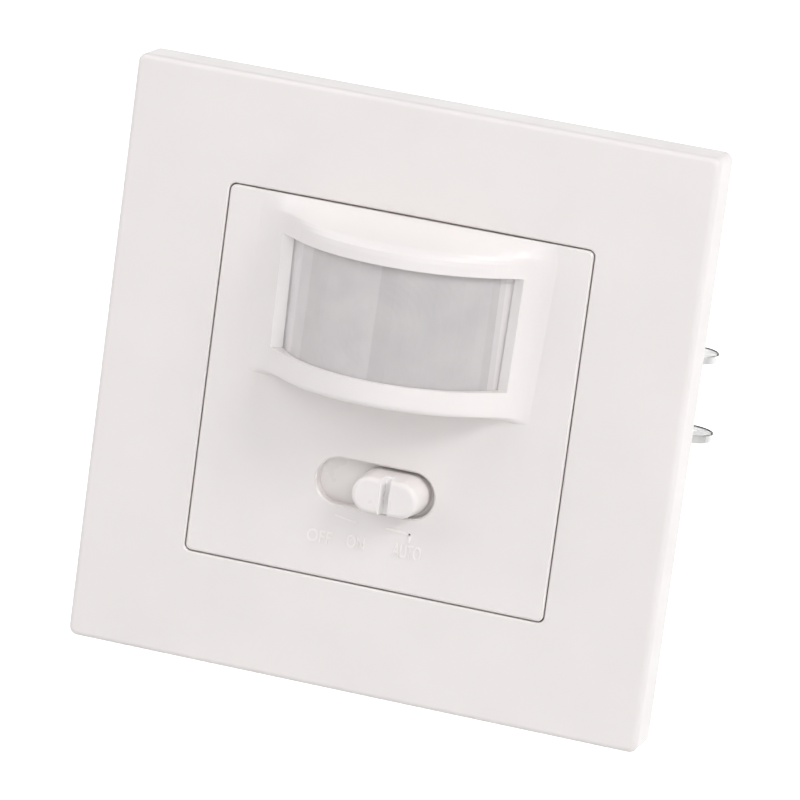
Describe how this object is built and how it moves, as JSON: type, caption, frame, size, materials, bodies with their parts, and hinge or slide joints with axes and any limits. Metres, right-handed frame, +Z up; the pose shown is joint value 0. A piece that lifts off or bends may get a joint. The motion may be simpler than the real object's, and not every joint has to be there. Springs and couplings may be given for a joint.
{
  "type": "motion sensor light switch",
  "caption": "Flush wall light switch with a bowed motion sensor window, a slide knob and spreader claws.",
  "frame": {"origin": "centre of the wall plane, midway between the two box screw slots", "axes": "+X to the right seen from the room, +Z up, +Y into the wall; the front faces -Y"},
  "size_m": [0.08, 0.0541, 0.08],
  "materials": {
    "frame_plastic": "satin white",
    "cover_plastic": "satin white",
    "lens_plastic": "translucent grey white",
    "retainer_plastic": "plain white",
    "knob_plastic": "satin white",
    "sheet_steel": "zinc plated",
    "screw_steel": "zinc plated",
    "cage_steel": "zinc plated",
    "tinned_metal": "tinned",
    "can_metal": "nickel plated",
    "contact_brass": "plain",
    "black_plastic": "matte black",
    "dark_pane": "dark filter",
    "cell_body": "varnished",
    "trimmer_plastic": "matte blue",
    "dial_plastic": "matte white",
    "shell_plastic": "matte white",
    "circuit_board": "solder mask",
    "capacitor_sleeve": "printed sleeve",
    "ceramic": "matte",
    "relay_case": "plain",
    "film_case": "plain",
    "surge_coat": "dipped",
    "fuse_case": "plain",
    "resistor_body": "lacquered",
    "terminal_plastic": "plain grey",
    "housing_plastic": "matte white"
  },
  "bodies": {
    "base": {"switch_case": "sheet_steel", "switch_pins": "tinned_metal", "carrier_plate": "sheet_steel", "front_shell": "shell_plastic", "shell_screws": "screw_steel", "sensor_board": "circuit_board", "sensor_spacer": "black_plastic", "motion_sensor_can": "can_metal", "motion_sensor_pane": "dark_pane", "motion_sensor_leads": "tinned_metal", "light_cell": "cell_body", "lux_trimmer_base": "trimmer_plastic", "time_trimmer_base": "trimmer_plastic", "controller_chip": "black_plastic", "board_capacitors": "capacitor_sleeve", "chip_parts": "ceramic", "board_screws": "screw_steel", "link_strip": "black_plastic", "link_pins": "tinned_metal", "link_socket": "black_plastic", "power_board": "circuit_board", "power_board_screws": "screw_steel", "relay": "relay_case", "film_capacitor": "film_case", "smoothing_capacitor": "capacitor_sleeve", "bridge_rectifier": "black_plastic", "surge_disc": "surge_coat", "fuse": "fuse_case", "power_resistors": "resistor_body", "terminal_block": "terminal_plastic", "terminal_contacts": "contact_brass", "rear_housing": "housing_plastic"},
    "frame": {"outer_frame": "frame_plastic"},
    "cover": {"centre_cover": "cover_plastic", "fresnel_lens": "lens_plastic", "lens_retainer": "retainer_plastic"},
    "knob": {"mode_knob": "knob_plastic", "switch_slider": "black_plastic"},
    "lux_dial": {"lux_trimmer_dial": "dial_plastic"},
    "time_dial": {"time_trimmer_dial": "dial_plastic"},
    "right_claw": {"claw_right": "sheet_steel"},
    "left_claw": {"claw_left": "sheet_steel"},
    "right_claw_bolt": {"claw_screw_right": "screw_steel"},
    "left_claw_bolt": {"claw_screw_left": "screw_steel"},
    "cage_1": {"terminal_cage_1": "cage_steel"},
    "screw_1": {"terminal_screw_1": "screw_steel"},
    "cage_2": {"terminal_cage_2": "cage_steel"},
    "screw_2": {"terminal_screw_2": "screw_steel"},
    "cage_3": {"terminal_cage_3": "cage_steel"},
    "screw_3": {"terminal_screw_3": "screw_steel"}
  },
  "joints": [
    {"name": "frame_lift", "type": "slide", "parent": "base", "child": "frame", "axis": [0, -1, 0], "range_m": [0, 0.015]},
    {"name": "cover_lift", "type": "slide", "parent": "base", "child": "cover", "axis": [0, -1, 0], "range_m": [0, 0.02]},
    {"name": "mode_slide", "type": "slide", "parent": "base", "child": "knob", "axis": [-1, 0, 0], "range_m": [0, 0.0051]},
    {"name": "lux_turn", "type": "hinge", "parent": "base", "child": "lux_dial", "pos_m": [-0.015, 0, -0.003], "axis": [0, 1, 0], "range_deg": [-120, 120]},
    {"name": "time_turn", "type": "hinge", "parent": "base", "child": "time_dial", "pos_m": [0.015, 0, -0.003], "axis": [0, 1, 0], "range_deg": [-120, 120]},
    {"name": "right_claw_swing", "type": "hinge", "parent": "base", "child": "right_claw", "pos_m": [0.026, 0.00155, 0], "axis": [0, 0, -1], "range_deg": [-8, 5]},
    {"name": "right_claw_screw_turn", "type": "hinge", "parent": "right_claw", "child": "right_claw_bolt", "pos_m": [0.026, 0, 0], "axis": [0, 1, 0], "range_deg": [-1440, 900]},
    {"name": "left_claw_swing", "type": "hinge", "parent": "base", "child": "left_claw", "pos_m": [-0.026, 0.00155, 0], "axis": [0, 0, 1], "range_deg": [-8, 5]},
    {"name": "left_claw_screw_turn", "type": "hinge", "parent": "left_claw", "child": "left_claw_bolt", "pos_m": [-0.026, 0, 0], "axis": [0, 1, 0], "range_deg": [-1440, 900]},
    {"name": "terminal_1_turn", "type": "hinge", "parent": "base", "child": "screw_1", "pos_m": [-0.0095, 0.034, -0.017], "axis": [0, -1, 0], "range_deg": [0, 1800]},
    {"name": "terminal_1_rise", "type": "slide", "parent": "base", "child": "cage_1", "axis": [0, 1, 0], "range_m": [0, 0.0025]},
    {"name": "terminal_2_turn", "type": "hinge", "parent": "base", "child": "screw_2", "pos_m": [0, 0.034, -0.017], "axis": [0, -1, 0], "range_deg": [0, 1800]},
    {"name": "terminal_2_rise", "type": "slide", "parent": "base", "child": "cage_2", "axis": [0, 1, 0], "range_m": [0, 0.0025]},
    {"name": "terminal_3_turn", "type": "hinge", "parent": "base", "child": "screw_3", "pos_m": [0.0095, 0.034, -0.017], "axis": [0, -1, 0], "range_deg": [0, 1800]},
    {"name": "terminal_3_rise", "type": "slide", "parent": "base", "child": "cage_3", "axis": [0, 1, 0], "range_m": [0, 0.0025]}
  ],
  "couplings": [
    {"joint": "right_claw_screw_turn", "follows": "right_claw_swing", "ratio": 180},
    {"joint": "left_claw_screw_turn", "follows": "left_claw_swing", "ratio": 180},
    {"joint": "terminal_1_turn", "follows": "terminal_1_rise", "rad_per_m": 12566},
    {"joint": "terminal_2_turn", "follows": "terminal_2_rise", "rad_per_m": 12566},
    {"joint": "terminal_3_turn", "follows": "terminal_3_rise", "rad_per_m": 12566}
  ]
}
